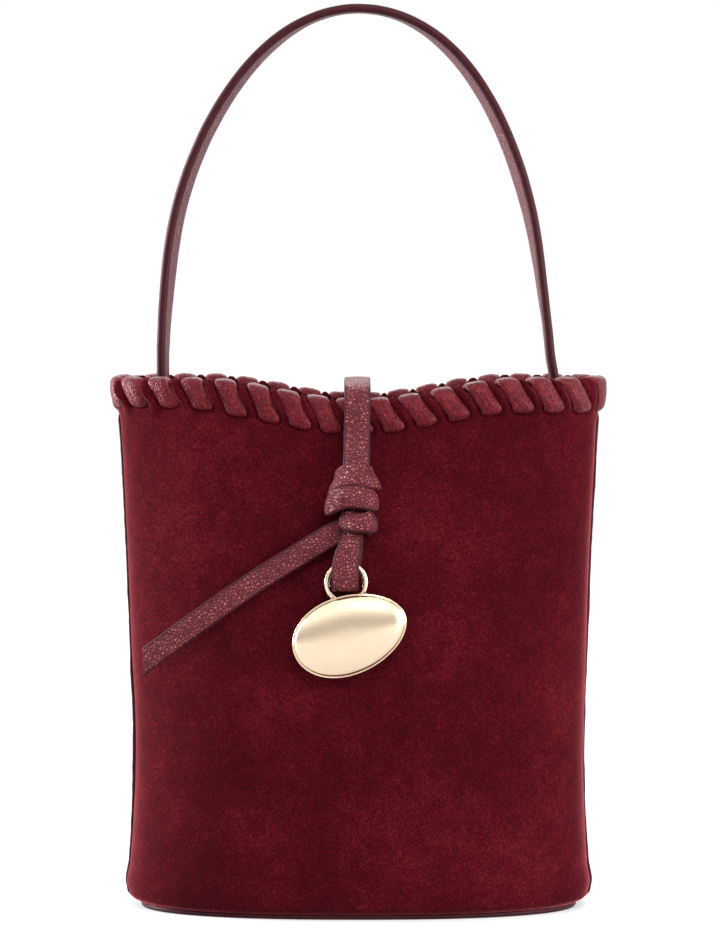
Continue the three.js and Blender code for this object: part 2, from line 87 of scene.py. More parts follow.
# Lacing, as wraps on each half of the rim. HOLE_DROP is from the rim down to a wrap's hole.
WRAPS = 17
LACE_WIDTH = 9.7
LACE_THICK = 2.3
LACE_PLUMP = 0.85
HOLE_DROP = 10.9
FIRST_HOLES_RISE = 2.4
LAST_HOLE_SHIFT = 1.6
LEAN_LEFT = 5.2
LEAN_GAIN = 2.7
LAST_LEAN_SHARE = 0.4
LOBE_RISE = 2.7

ARCH_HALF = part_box("handle_outer_layer")[1].x / MM
ARCH_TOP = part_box("handle_outer_layer")[1].z / MM
ARCH_BASE = 236.0
ARCH_RISE = ARCH_TOP - ARCH_BASE
ARCH_POWER = 2.05
HANDLE_WIDTH = 14.0
HANDLE_THICK = 3.9
HANDLE_PIVOT = 243.0
HANDLE_SWAY = 2.15
# Half width and height of the sewn end, inside the wall.
HANDLE_END_LINE = (
    (98.6, 173), (99.2, 182), (99.4, 190), (98.0, 199), (94.2, 209), (90.0, 219), (88.2, 227),
)

# Height and width of the patch over a sewn end.
PATCH_OUTLINE = (
    (171.5, 17), (172.6, 22), (174, 24.4), (176, 25), (182, 25),
    (186, 25), (188.5, 24.4), (190, 22), (191, 17),
)
PATCH_THICK = 1.4
PATCH_STITCH_HALF = 10.0
PATCH_STITCH_LOW, PATCH_STITCH_HIGH = 174.2, 188.2

STRAP_WIDTH = 11.7
STRAP_THICK = 2.0
# The loop that carries the ring: depth and height of its middle, and its radius.
LOOP_Y, LOOP_Z, LOOP_RADIUS = -51.2, 151.2, 4.3
# The sewn end's stitching: left and right, and depth and height of its foot and top.
ANCHOR_LEFT, ANCHOR_RIGHT = -4.6, 3.4
ANCHOR_FOOT = (46.4, 162)
ANCHOR_HEAD = (43.05, 196)

RING_CENTRE = (-5.5, -49.6, 149.4)
RING_RADIUS = 8.4
RING_WIRE = 1.4
CHARM_CENTRE = (-3.9, -53.9, 127.0)
CHARM_HALF = (25.9, 17.35)
CHARM_TILT = math.radians(20)
CHARM_FRONT = 5.6
CHARM_BACK = 3.8
DOME_SHARE = 0.962
DOME_FOOT = 0.75
EYELET_RADIUS = 2.7
EYELET_WIRE = 0.95

# ---- Mesh helpers ----


def hermite(knots, values, at):
    """Smooth curve through values at uneven knots, without overshoot between close rows."""
    knots = np.asarray(knots, float)
    values = np.asarray(values, float)
    step = np.diff(knots)[:, None]
    slope = np.diff(values, axis=0) / step
    tangent = np.empty_like(values)
    tangent[0], tangent[-1] = slope[0], slope[-1]
    tangent[1:-1] = (slope[:-1] * step[1:] + slope[1:] * step[:-1]) / (step[1:] + step[:-1])
    i = np.clip(np.searchsorted(knots, at) - 1, 0, len(knots) - 2)
    h = step[i]
    t = ((at - knots[i])[:, None]) / h
    return (
        (2 * t**3 - 3 * t**2 + 1) * values[i]
        + (t**3 - 2 * t**2 + t) * h * tangent[i]
        + (-2 * t**3 + 3 * t**2) * values[i + 1]
        + (t**3 - t**2) * h * tangent[i + 1]
    )


def run_along(points):
    """Length from the first point to each one."""
    return np.concatenate([[0], np.cumsum(np.linalg.norm(np.diff(points, axis=0), axis=1))])


def smooth_path(rows, step):
    """Evenly spaced rows along a smooth curve through the given ones. A row starts with its point."""
    rows = np.array(rows, float)
    chord = np.sqrt(np.linalg.norm(np.diff(rows[:, :3], axis=0), axis=1))
    knots = np.concatenate([[0], np.cumsum(chord)])
    fine = hermite(knots, rows, np.linspace(0, knots[-1], 40 * len(rows)))
    length = run_along(fine[:, :3])
    even = np.linspace(0, length[-1], max(int(length[-1] / step), 4) + 1)
    return np.stack([np.interp(even, length, column) for column in fine.T], axis=1)


def add(name, data):
    """A new object in the scene."""
    obj = bpy.data.objects.new(name, data)
    bpy.context.scene.collection.objects.link(obj)
    return obj


def mesh_object(name, points, faces, materials, face_slots=None):
    """A smooth-shaded object from millimetre points, faces and, for each face, its material's number."""
    mesh = bpy.data.meshes.new(name)
    mesh.from_pydata((np.asarray(points) * MM).tolist(), [], faces)
    for material in materials:
        mesh.materials.append(material)
    if face_slots is not None:
        mesh.polygons.foreach_set("material_index", np.asarray(face_slots, np.int32))
    mesh.polygons.foreach_set("use_smooth", [True] * len(faces))
    mesh.update()
    return add(name, mesh)


def grid_faces(rows, columns, closed=False):
    """Quads of a grid of points, which closes on itself across its columns if asked."""
    faces = []
    last = columns if closed else columns - 1
    for i in range(rows - 1):
        for j in range(last):
            k = (j + 1) % columns
            faces.append((i * columns + j, i * columns + k, (i + 1) * columns + k, (i + 1) * columns + j))
    return faces


def volume_sign(points, faces):
    """1 if a closed mesh's faces look outwards, -1 if they look in."""
    total = 0.0
    for face in faces:
        a = points[face[0]]
        for b, c in zip(face[1:-1], face[2:]):
            total += np.dot(a, np.cross(points[b], points[c]))
    return 1 if total > 0 else -1


def sweep(name, sections, materials, section_slots=None, caps=True):
    """Tube through sections (rows, points, 3) that faces outwards, capped with a fan to each end's middle.

    `section_slots` has a material's number for each strip along it. The caps take the last material. A tube
    that closes on itself has no caps.
    """
    sections = np.asarray(sections)
    rows, columns = sections.shape[:2]
    points = sections.reshape(-1, 3)
    faces = grid_faces(rows, columns, closed=True)
    slots = [0] * len(faces) if section_slots is None else list(section_slots) * (rows - 1)
    if caps:
        points = np.vstack([points, sections[0].mean(0), sections[-1].mean(0)])
        first, last = len(points) - 2, len(points) - 1
        base = (rows - 1) * columns
        for j in range(columns):
            k = (j + 1) % columns
            faces.append((first, k, j))
            faces.append((last, base + j, base + k))
            slots += [len(materials) - 1] * 2
    if volume_sign(points, faces) < 0:
        faces = [tuple(reversed(face)) for face in faces]
    return mesh_object(name, points, faces, materials, slots)


def join(name, objects):
    """One object from several."""
    bpy.ops.object.select_all(action="DESELECT")
    for obj in objects:
        obj.select_set(True)
    bpy.context.view_layer.objects.active = objects[0]
    bpy.ops.object.join()
    objects[0].name = name
    objects[0].data.name = name
    return objects[0]


def smoothstep(t):
    """Eases from 0 to 1 as t goes from 0 to 1."""
    t = np.clip(t, 0, 1)
    return t * t * (3 - 2 * t)


def signed_power(value, power):
    """A power of the value's size, with the value's sign."""
    return np.sign(value) * np.abs(value) ** power


def bell(t):
    """1 at t = 0, easing to nothing on both sides."""
    return math.exp(-(t**2))


def spread_turn(count):
    """Angles of `count` points evenly round a circle."""
    return np.linspace(0, 2 * math.pi, count + 1)[:-1]


def arc(out, up, radius, start, end, count):
    """Points of an arc by its middle, its radius and its first and last angle in degrees."""
    turns = np.radians(np.linspace(start, end, count))
    return [(out + radius * math.cos(t), up + radius * math.sin(t)) for t in turns]


def wire_section(centre, across, up, radius, count):
    """Points round a wire whose section lies along two unit vectors."""
    return [centre + (across * math.cos(t) + up * math.sin(t)) * radius for t in spread_turn(count)]


def wave(point, scale, seed=0.0):
    """Smooth noise of about -1 to 1 with features of `scale` mm."""
    return noise.noise(Vector(point) / scale + Vector((seed, seed * 1.7, -seed)))


# ---- Materials ----


class Shader:
    """A material's node tree with short calls for its nodes."""

    def __init__(self, name):
        self.material = bpy.data.materials.new(name)
        self.material.use_nodes = True
        self.tree = self.material.node_tree
        self.bsdf = self.tree.nodes["Principled BSDF"]
        self.coords = self.tree.nodes.new("ShaderNodeTexCoord").outputs["Object"]

    def node(self, kind, inputs=None, **settings):
        made = self.tree.nodes.new(kind)
        for key, value in settings.items():
            setattr(made, key, value)
        for key, value in (inputs or {}).items():
            self.put(value, made.inputs[key])
        return made

    def put(self, value, socket):
        if isinstance(value, bpy.types.NodeSocket):
            self.tree.links.new(value, socket)
        else:
            socket.default_value = value

    def noise(self, size, detail=2.0, roughness=0.5, distortion=0.0):
        """Noise with features of about `size` mm."""
        return self.node("ShaderNodeTexNoise", {
            "Vector": self.coords,
            "Scale": 1 / (size * MM),
            "Detail": detail,
            "Roughness": roughness,
            "Distortion": distortion,
        }).outputs["Fac"]

    def ramp(self, value, stops, smooth=False):
        """Colour by value through (value, colour) stops."""
        made = self.node("ShaderNodeValToRGB", {"Fac": value})
        ramp = made.color_ramp
        ramp.interpolation = "EASE" if smooth else "LINEAR"
        while len(ramp.elements) < len(stops):
            ramp.elements.new(0.5)
        for element, (position, colour) in zip(ramp.elements, stops):
            element.position = position
            element.color = colour
        return made.outputs["Color"]

    def grey(self, value, low, high, smooth=False):
        """Black up to `low`, white from `high`. With low above high it falls from white to black instead."""
        return self.ramp(value, [(low, rgb(0, 0, 0)), (high, rgb(1, 1, 1))], smooth)

    def maths(self, operation, a, b):
        return self.node("ShaderNodeMath", {0: a, 1: b}, operation=operation).outputs[0]

    def mix(self, share, a, b):
        """Colour a, or b where share is 1. The numbers are the node's sockets for colours."""
        return self.node("ShaderNodeMix", {0: share, 6: a, 7: b}, data_type="RGBA").outputs[2]

    def vector(self, operation, inputs):
        return self.node("ShaderNodeVectorMath", inputs, operation=operation).outputs[0]

    def spread(self, value, **limits):
        """Maps a value from one span to another, 0 to 1 where a limit isn't given."""
        inputs = {"Value": value}
        for key, limit in limits.items():
            inputs[key.replace("_", " ")] = limit
        return self.node("ShaderNodeMapRange", inputs).outputs[0]

    def attribute(self, name):
        return self.node("ShaderNodeAttribute", attribute_name=name).outputs["Fac"]

    def bump(self, height, strength, distance, normal=None):
        """Normal of a relief `distance` mm high, on top of another if one is given."""
        inputs = {"Height": height, "Strength": strength, "Distance": distance * MM}
        if normal:
            inputs["Normal"] = normal
        return self.node("ShaderNodeBump", inputs).outputs["Normal"]

    def finish(self, **sockets):
        """Sets the surface's sockets, named with _ for a space, and gives the material."""
        for key, value in sockets.items():
            self.put(value, self.bsdf.inputs[key.replace("_", " ")])
        return self.material


def rgb(red, green, blue):
    return (red, green, blue, 1)


def suede_material():
    """Napped suede: four sizes of mottling and a red sheen."""
    s = Shader("suede")
    speck = s.noise(0.5, detail=2, roughness=0.6)
    fine = s.noise(1.3, detail=4, roughness=0.75)
    patch = s.noise(8, detail=3, roughness=0.6, distortion=0.6)
    broad = s.noise(52, detail=2)
    tone = 0.0
    for layer, low, high, weight in (
        (speck, 0.26, 0.74, 0.4), (fine, 0.28, 0.72, 0.26),
        (patch, 0.25, 0.75, 0.14), (broad, 0.25, 0.75, 0.2),
    ):
        tone = s.maths("ADD", tone, s.maths("MULTIPLY", s.grey(layer, low, high), weight))
    colour = s.ramp(tone, [
        (0.2, rgb(0.010, 0.0001, 0.0008)), (0.48, rgb(0.030, 0.0006, 0.0023)),
        (0.62, rgb(0.053, 0.0021, 0.0049)), (0.86, rgb(0.112, 0.0098, 0.0155)),
    ])
    normal = s.bump(speck, 0.35, 0.3)
    normal = s.bump(fine, 0.3, 0.5, normal)
    normal = s.bump(patch, 0.15, 0.9, normal)
    return s.finish(
        Base_Color=colour, Roughness=0.95, Normal=normal, Specular_IOR_Level=0.04,
        Sheen_Weight=0.56, Sheen_Roughness=0.28, Sheen_Tint=rgb(0.95, 0.18, 0.22),
    )


def grain_height(s, size):
    """Distance from the creases of a pebbled grain, whose warped cells are about `size` mm across."""
    warp = s.node("ShaderNodeTexNoise", {"Vector": s.coords, "Scale": 1 / (size * 1.4 * MM), "Detail": 1.0})
    shift = s.vector("SUBTRACT", {0: warp.outputs["Color"], 1: (0.5, 0.5, 0.5)})
    shift = s.vector("SCALE", {0: shift, "Scale": size * 0.9 * MM})
    place = s.vector("ADD", {0: s.coords, 1: shift})
    return s.node(
        "ShaderNodeTexVoronoi", {"Vector": place, "Scale": 1 / (size * MM)}, feature="DISTANCE_TO_EDGE",
    ).outputs["Distance"]


def leather_material(name, base, light, size, rough=(0.3, 0.6), depth=0.6, shine=0.42, wear_and_highlight=0.0):
    """Grained leather: painted shade in the creases, tones from base to light, and a painted highlight on the
    raised pebbles.
    """
    s = Shader(name)
    edge = grain_height(s, size)
    cells = s.grey(edge, 0.01, 0.18)
    dome = s.grey(edge, 0.0, 0.42, smooth=True)
    mottle = s.noise(5, detail=2)
    pores = s.noise(0.35, detail=1)
    colour = s.mix(s.grey(mottle, 0.3, 0.75), rgb(*base), rgb(*light))
    # Painted highlight: the raised pebbles pale towards pink, patchy with the mottle, standing in for light
    # on them; its strength is 0 unless a leather asks for it, as the strap leather does.
    painted_top_highlight = s.maths("MULTIPLY", s.grey(edge, 0.1, 0.38), s.maths("MULTIPLY", s.grey(mottle, 0.2, 0.6), wear_and_highlight))
    colour = s.mix(painted_top_highlight, colour, rgb(0.35, 0.107, 0.12))
    # Painted shade: the creases between the pebbles darken to a tenth of the base colour.
    shaded_crease = s.maths("MULTIPLY", s.maths("SUBTRACT", 1.0, cells), 0.9)
    colour = s.mix(shaded_crease, colour, rgb(*(c * 0.1 for c in base)))
    normal = s.bump(dome, 1.0, depth)
    normal = s.bump(pores, 0.1, 0.15, normal)
    return s.finish(
        Base_Color=colour, Roughness=s.spread(cells, To_Min=rough[1], To_Max=rough[0]), Normal=normal,
        Specular_IOR_Level=shine, Specular_Tint=rgb(1.0, 0.46, 0.5),
    )


def lace_material():
    """Supple leather with fine creases, painted shade in the creases and a painted highlight along its edges.
    """
    s = Shader("lace_leather")
    cells = s.grey(grain_height(s, 1.15), 0.0, 0.4, smooth=True)
    shaded_crease = s.noise(1.5, detail=3, roughness=0.6, distortion=0.8)
    # Random patches of lighter and darker tone.
    wear_and_highlight = s.noise(4.5, detail=2)
    colour = s.mix(s.grey(wear_and_highlight, 0.3, 0.7), rgb(0.072, 0.0026, 0.0058), rgb(0.125, 0.0085, 0.0140))
    # Painted shade: the deepest creases of the noise darken nearly to black.
    colour = s.mix(s.maths("MULTIPLY", s.grey(shaded_crease, 0.44, 0.26), 0.7), colour, rgb(0.025, 0.0012, 0.0025))
    # Painted highlight: the lace pales along both its edges, standing in for light on its rounded sides.
    rim = s.spread(s.attribute("edge"), From_Min=0.86, From_Max=0.93)
    colour = s.mix(s.maths("MULTIPLY", rim, 0.6), colour, rgb(0.15, 0.034, 0.042))
    normal = s.bump(shaded_crease, 0.35, 0.5)
    normal = s.bump(cells, 0.5, 0.35, normal)
    return s.finish(
        Base_Color=colour, Roughness=s.maths("ADD", 0.24, s.maths("MULTIPLY", shaded_crease, 0.25)), Normal=normal,
        Specular_IOR_Level=0.28, Specular_Tint=rgb(1.0, 0.34, 0.38),
    )


def edge_material():
    """Dark paint along cut leather edges."""
    s = Shader("edge_paint")
    drift = s.noise(3.2, detail=3)
    fine = s.noise(0.6, detail=2)
    colour = s.mix(s.grey(drift, 0.3, 0.75), rgb(0.016, 0.0022, 0.0036), rgb(0.028, 0.0042, 0.0062))
    return s.finish(
        Base_Color=colour, Roughness=s.maths("ADD", 0.34, s.maths("MULTIPLY", drift, 0.25)),
        Normal=s.bump(fine, 0.2, 0.12), Specular_IOR_Level=0.17, Specular_Tint=rgb(1.0, 0.55, 0.6),
    )


def lining_material():
    """Dark woven cloth, its weave the product of two sets of fine bands."""
    s = Shader("lining_cloth")
    bands = [
        s.node(
            "ShaderNodeTexWave", {"Vector": s.coords, "Scale": 1 / (4.34 * MM), "Distortion": 0.6},
            wave_type="BANDS", bands_direction=axis,
        ).outputs["Fac"]
        for axis in ("X", "Z")
    ]
    weave = s.maths("MULTIPLY", *bands)
    tone = s.noise(14, detail=3)
    colour = s.mix(s.grey(tone, 0.3, 0.7), rgb(0.019, 0.0032, 0.0045), rgb(0.032, 0.0065, 0.0085))
    colour = s.mix(s.maths("MULTIPLY", weave, 0.4), colour, rgb(0.055, 0.014, 0.017))
    return s.finish(
        Base_Color=colour, Roughness=0.85, Normal=s.bump(weave, 0.5, 0.25), Specular_IOR_Level=0.1,
    )


def thread_material():
    s = Shader("thread")
    twist = s.noise(0.4, detail=2)
    colour = s.mix(s.grey(twist, 0.3, 0.7), rgb(0.10, 0.016, 0.022), rgb(0.2, 0.05, 0.06))
    return s.finish(Base_Color=colour, Roughness=0.6, Normal=s.bump(twist, 0.6, 0.15))


def gold_material():
    s = Shader("polished_gold")
    haze = s.noise(7, detail=4, roughness=0.6)
    colour = s.mix(s.grey(haze, 0.3, 0.7), rgb(0.665, 0.525, 0.378), rgb(0.695, 0.555, 0.405))
    return s.finish(
        Base_Color=colour, Metallic=1.0,
        Roughness=s.maths("ADD", 0.12, s.maths("MULTIPLY", haze, 0.06)),
        Normal=s.bump(s.noise(22, detail=1), 0.06, 0.6),
    )


SUEDE = suede_material()
STRAP_LEATHER = leather_material(
    "strap_leather", (0.095, 0.0055, 0.0105), (0.15, 0.016, 0.023),
    size=1.45, rough=(0.36, 0.58), depth=1.0, shine=0.46, wear_and_highlight=0.62,
)
HANDLE_LEATHER = leather_material(
    "handle_leather", (0.085, 0.015, 0.021), (0.13, 0.03, 0.038), size=1.2, rough=(0.42, 0.6), depth=0.35,
)
BASE_LEATHER = leather_material(
    "base_leather", (0.05, 0.005, 0.008), (0.07, 0.008, 0.012), size=0.8, depth=0.15,
)
PATCH_LEATHER = leather_material(
    "patch_leather", (0.06, 0.006, 0.01), (0.09, 0.011, 0.016), size=1.0, depth=0.25,
)
LACE = lace_material()
EDGE = edge_material()
CLOTH = lining_material()
THREAD = thread_material()
GOLD = gold_material()

# ---- The wall as a surface ----


def wall_point(angle, height, out):
    """Points on the wall by plan angle and height, `out` mm outside the suede's outer face."""
    angle, height, out = np.broadcast_arrays(*(np.asarray(v, float) for v in (angle, height, out)))
    flat = hermite(WALL_PROFILE[:, 0], WALL_PROFILE[:, 1:], np.clip(height.ravel(), WALL_BOTTOM, WALL_TOP))
    width, depth = flat[:, 0].reshape(height.shape), flat[:, 1].reshape(height.shape)
    x = width * signed_power(np.cos(angle), 2 / PLAN_POWER)
    y = depth * signed_power(np.sin(angle), 2 / PLAN_POWER)
    nx = signed_power(x / width, PLAN_POWER - 1) / width
    ny = signed_power(y / depth, PLAN_POWER - 1) / depth
    length = np.hypot(nx, ny)
    return np.stack([x + out * nx / length, y + out * ny / length, height], axis=-1)


def rim_height(x):
    """Height of the rim, which dips in the middle of both faces."""
    dip = RIM_DIP * 0.5 * (1 + np.cos(np.pi * np.clip(np.abs(x) / RIM_DIP_HALF, 0, 1)))
    return RIM_SIDE - dip


RIM_ANGLES = np.linspace(-np.pi, np.pi, 4001)
RIM_LINE = wall_point(RIM_ANGLES, RIM_SIDE, 0)
RIM_ARC = run_along(RIM_LINE)
RIM_LENGTH = RIM_ARC[-1]
RIM_HALF = RIM_LENGTH / 2
PITCH = RIM_HALF / WRAPS
HALF_TURN = np.array([-1, -1, 1])


def rim_point(along, out, above):
    """Points by length round the rim from the left seam, distance outside the wall, height above the rim."""
    angle = np.interp(np.mod(along, RIM_LENGTH), RIM_ARC, RIM_ANGLES)
    x = wall_point(angle, RIM_SIDE, 0)[..., 0]
    return wall_point(angle, rim_height(x) + above, out)


def hole_at(wrap):
    """Where a wrap goes through the wall; the hand-cut holes drift a little from an even pitch."""
    even = (wrap + 0.5) * PITCH
    share = even / RIM_HALF
    drift = 1.1 + 2.6 * bell((share - 0.3) / 0.14) - 1.1 * bell(share / 0.07)
    return even + drift + LAST_HOLE_SHIFT * (wrap >= WRAPS - 1)


def drop_at(wrap):
    """How far below the rim a wrap's hole is; the first few are cut a little higher."""
    return HOLE_DROP - FIRST_HOLES_RISE * smoothstep((4.5 - wrap) / 2.5)


def lean_at(wrap):
    """How far a wrap slants from its top to its hole: more to the right, but least at the last wrap."""
    lean = LEAN_LEFT + LEAN_GAIN * smoothstep((wrap - 5.5) / 5)
    return lean * LAST_LEAN_SHARE if wrap >= WRAPS - 1 else lean


def lobe(along):
    """0 where a wrap crosses the top of the wall, 1 where the suede stands up between two."""
    away = min(abs(along - hole_at(wrap) + lean_at(wrap)) for wrap in range(-1, WRAPS + 1))
    return smoothstep((away - 3.2) / 3.6)


def wall_relief(along, below, height, seed):
    """How far the suede stands out, in mm: soft sag, the pull of the lacing and the turned seam edges."""
    relief = 0.0
    if below < 26:
        for wrap in range(-1, WRAPS + 1):
            ds = along - hole_at(wrap)
            if abs(ds) > 16:
                continue
            drop = drop_at(wrap)
            dz = below - drop
            relief -= 1.5 * math.exp(-((ds / 5.6) ** 4) - (dz / 1.6) ** 2)
            relief += 0.6 * bell(ds / 6.5) * bell((dz - 3.2) / 2.2)
            share = min(max(below / drop, 0), 1)
            middle = abs(ds + lean_at(wrap) * (1 - share) * 0.85)
            relief += 2.5 * bell((middle - PITCH / 2) / 2.8) * bell((below - 4) / 6.5)
    point = (along, height, seed * 31.0)
    relief += 0.75 * wave(point, 62, seed) + 0.3 * wave((along, height * 0.55, 9.0), 24, seed + 2)
    relief += 0.1 * wave(point, 8, seed + 5)
    edge = min(along, RIM_HALF - along)
    relief -= 0.55 * bell(edge / 2.2)
    return relief * smoothstep((height - WALL_BOTTOM) / 10)


def sheet(name, rows, material, turned):
    """An open sheet through rows of points, turned half way round for the back of the bag."""
    grid = np.array(rows) * (HALF_TURN if turned else 1)
    return mesh_object(name, grid.reshape(-1, 3), grid_faces(*grid.shape[:2]), [material])


def build_wall(name, seed, turned):
    """One suede half: up the outside, over the rim and a little way down inside."""
    along = np.linspace(SEAM_HALF, RIM_HALF - SEAM_HALF, 300)
    angles = np.interp(along, RIM_ARC, RIM_ANGLES)
    plain_rim = rim_height(wall_point(angles, RIM_SIDE, 0)[:, 0])
    ends = smoothstep(np.minimum(along, RIM_HALF - along) / 6)
    rim = plain_rim + LOBE_RISE * np.array([lobe(s) for s in along]) * ends
    rows = []
    for out, z in ((-2.0, 3.1), (-1.3, 2.5), (-0.5, 2.35)):
        rows.append(wall_point(angles, z, out))
    radius = WALL_STACK / 2
    shares = np.concatenate([
        np.linspace(0, 0.05, 10)[:-1], np.linspace(0.05, 0.9, 120)[:-1], np.linspace(0.9, 1, 26),
    ])
    for share in shares:
        z = WALL_BOTTOM + (rim - radius - WALL_BOTTOM) * share
        relief = [wall_relief(s, r - height, height, seed) for s, r, height in zip(along, plain_rim, z)]
        rows.append(wall_point(angles, z, relief))
    for out, up in arc(-radius, -radius, radius, 0, 180, 8)[1:]:
        rows.append(wall_point(angles, rim + up, out))
    for drop in (4, 9, 15, 22):
        rows.append(wall_point(angles, rim - radius - drop, -WALL_STACK))
    # The side edges turn in behind the seam strip.
    grid = np.array(rows)
    inward = grid[:, [0, -1]] + np.array([(1.3, 0, 0), (-1.3, 0, 0)])
    inward[..., 1] = -0.78
    return sheet(name, np.concatenate([inward[:, :1], grid, inward[:, 1:]], axis=1), SUEDE, turned)


def build_lining(name, seed, turned):
    """The lining half, puckered, from just under the inside of the rim down to the base."""
    along = np.linspace(0, RIM_HALF, 130)
    angles = np.interp(along, RIM_ARC, RIM_ANGLES)
    top = rim_height(wall_point(angles, RIM_SIDE, 0)[:, 0]) - LINING_DROP
    rows = []
    for share in np.linspace(1, 0, 64):
        z = LINING_FOOT + (top - LINING_FOOT) * share
        pucker = np.array([
            1.5 * wave((s, height * 0.5, seed), 30, seed) + 0.4 * wave((s, height * 0.4, seed), 12, seed + 3)
            for s, height in zip(along, z)
        ])
        rows.append(wall_point(angles, z, -WALL_STACK - 0.35 - np.abs(pucker)))
    return sheet(name, rows, CLOTH, turned)


# ---- Straps ----


def strap_section(width, thick, crown=0.0):
    """Flat strap in section as (across, up, is painted edge), with crowned faces and rounded edges."""
    radius = thick / 2 * 0.92
    flat = width / 2 - radius
    across = np.linspace(-flat, flat, 13)
    rounding = arc(0, 0, 1, 90, -90, 8)[1:-1]
    points = [(a, thick / 2 + crown * (1 - (a / flat) ** 2), 0) for a in across]
    points += [(flat + radius * a, thick / 2 * u, 1) for a, u in rounding]
    points += [(a, -thick / 2 - crown * 0.3 * (1 - (a / flat) ** 2), 0) for a in across[::-1]]
    points += [(-flat - radius * a, -thick / 2 * u, 1) for a, u in rounding]
    return points


def strap(name, rows, thick, face, edge=EDGE, crown=0.0, step=0.9, seed=0.0, uneven=0.12):
    """A strap along rows of (x, y, z, across x, across y, across z, width), with painted edges."""
    path = smooth_path(rows, step)
    centre, across = path[:, :3], path[:, 3:6]
    way = np.gradient(centre, axis=0)
    way /= np.linalg.norm(way, axis=1)[:, None]
    across -= way * np.sum(across * way, axis=1)[:, None]
    across /= np.linalg.norm(across, axis=1)[:, None]
    up = np.cross(way, across)
    sections = []
    for i, (point, a, u) in enumerate(zip(centre, across, up)):
        section = strap_section(path[i, 6], thick, crown)
        wobble = uneven * wave((i * step, 0, 0), 17, seed)
        sections.append([
            point + a * (s + wobble) + u * (t + uneven * 0.6 * wave((i * step, s * 2, t), 9, seed + 4))
            for s, t, _ in section
        ])
    flags = [s[2] for s in strap_section(path[0, 6], thick)]
    slots = [1 if flags[j] or flags[(j + 1) % len(flags)] else 0 for j in range(len(flags))]
    return sweep(name, sections, [face, edge], slots)


def stitches(name, start, end, outward, pitch=3.2, length=2.3, radius=0.32):
    """A straight row of short threads lying on a surface."""
    start, end, outward = (np.array(v, float) for v in (start, end, outward))
    way = end - start
    run = np.linalg.norm(way)
    way /= run
    side = np.cross(way, outward)
    made = []
    for k in range(max(int(run / pitch), 1)):
        middle = start + way * (k + 0.5) * pitch
        sections = []
        for t in np.linspace(-1, 1, 9):
            lift = 0.35 * (1 - t * t)
            reach = radius * math.sqrt(max(1 - (abs(t) ** 3), 0.02))
            centre = middle + way * t * length / 2 + outward * (lift - 0.1)
            sections.append(wire_section(centre, side, outward, reach, 8))
        made.append(sweep(name, sections, [THREAD]))
    return made


# ---- Rim lacing ----


def lace_loop(drop):
    """One wrap as (distance outside the wall, height above the rim, how far it has come).

    From 0 to 1 it leans along the outside to its hole, from 1 to 2 it comes up inside to the next wrap's top.
    """
    outside = 0.1 + LACE_THICK / 2
    inside = 0.4 + LACE_THICK / 2
    low = -drop + outside
    rows = []
    for k, (out, up) in enumerate(arc(0, 0, outside, 90, 0, 9)):
        rows.append((out, up, 0.14 * k / 8))
    for share in np.linspace(0, 1, 13)[1:]:
        bulge = 0.5 * math.sin(math.pi * share * 0.97) ** 0.7
        rows.append((outside + bulge, low * share, 0.14 + 0.86 * share))
    rows += [(out, up, 1.0) for out, up in arc(0, low, outside, 0, -90, 6)[1:]]
    rows += [(-WALL_STACK * share, -drop, 1.0) for share in (0.35, 0.7, 1.0)]
    rows += [(out, up, 1.0) for out, up in arc(-WALL_STACK, low, inside, -90, -180, 5)[1:]]
    rows += [(-WALL_STACK - inside, low * (1 - share), 1.0 + share) for share in np.linspace(0, 1, 8)[1:]]
    rows += [(out, up, 2.0) for out, up in arc(-WALL_STACK, 0, inside, 180, 90, 6)[1:]]
    return rows


def lace_stations():
    """Rows of (length round the rim, distance outside the wall, height above the rim, width) of one lace."""
    stations = []
    first_top = hole_at(0) - lean_at(0)
    for shift, above in ((-2.6, -8.1), (-1.2, -4.5), (0.0, -0.8)):
        stations.append((first_top + shift, -WALL_STACK - 1.5, above, LACE_WIDTH))
    for wrap in range(WRAPS):
        hole, lean = hole_at(wrap), lean_at(wrap) + random.uniform(-0.5, 0.5)
        following = hole_at(wrap + 1) - lean_at(wrap + 1)
        wide = LACE_WIDTH * random.uniform(0.95, 1.05)
        for out, above, share in lace_loop(drop_at(wrap)):
            if wrap == WRAPS - 1 and out < -WALL_STACK:
                break
            at = hole - lean * (1 - share) if share <= 1 else hole + (following - hole) * (share - 1)
            pinch = 1 - 0.14 * bell((out + 1.2) / 1.6) * (above < -5)
            stations.append((at, out, above, wide * pinch))
    end = stations[-1][0]
    for out, drop in ((-1.6, 2.1), (-2.0, 4.5), (-2.0, 8.0)):
        stations.append((end, -WALL_STACK + out, -HOLE_DROP - drop, LACE_WIDTH))
    return np.array(stations)


def lace_section():
    """Points round the lace as (share of the half width, share of the half thickness)."""
    points = [(u, 1.0 - 0.16 * abs(u) ** 6) for u in np.linspace(-0.88, 0.88, 25)]
    points += [(0.88 + 0.12 * math.cos(t), 0.84 * math.sin(t)) for t in np.radians([60, 30, 0, -30, -60])]
    points += [(u, -1.0) for u in np.linspace(0.86, -0.86, 7)]
    points += [(-0.88 - 0.12 * math.cos(t), 0.84 * math.sin(t)) for t in np.radians([-60, -30, 0, 30, 60])]
    return points


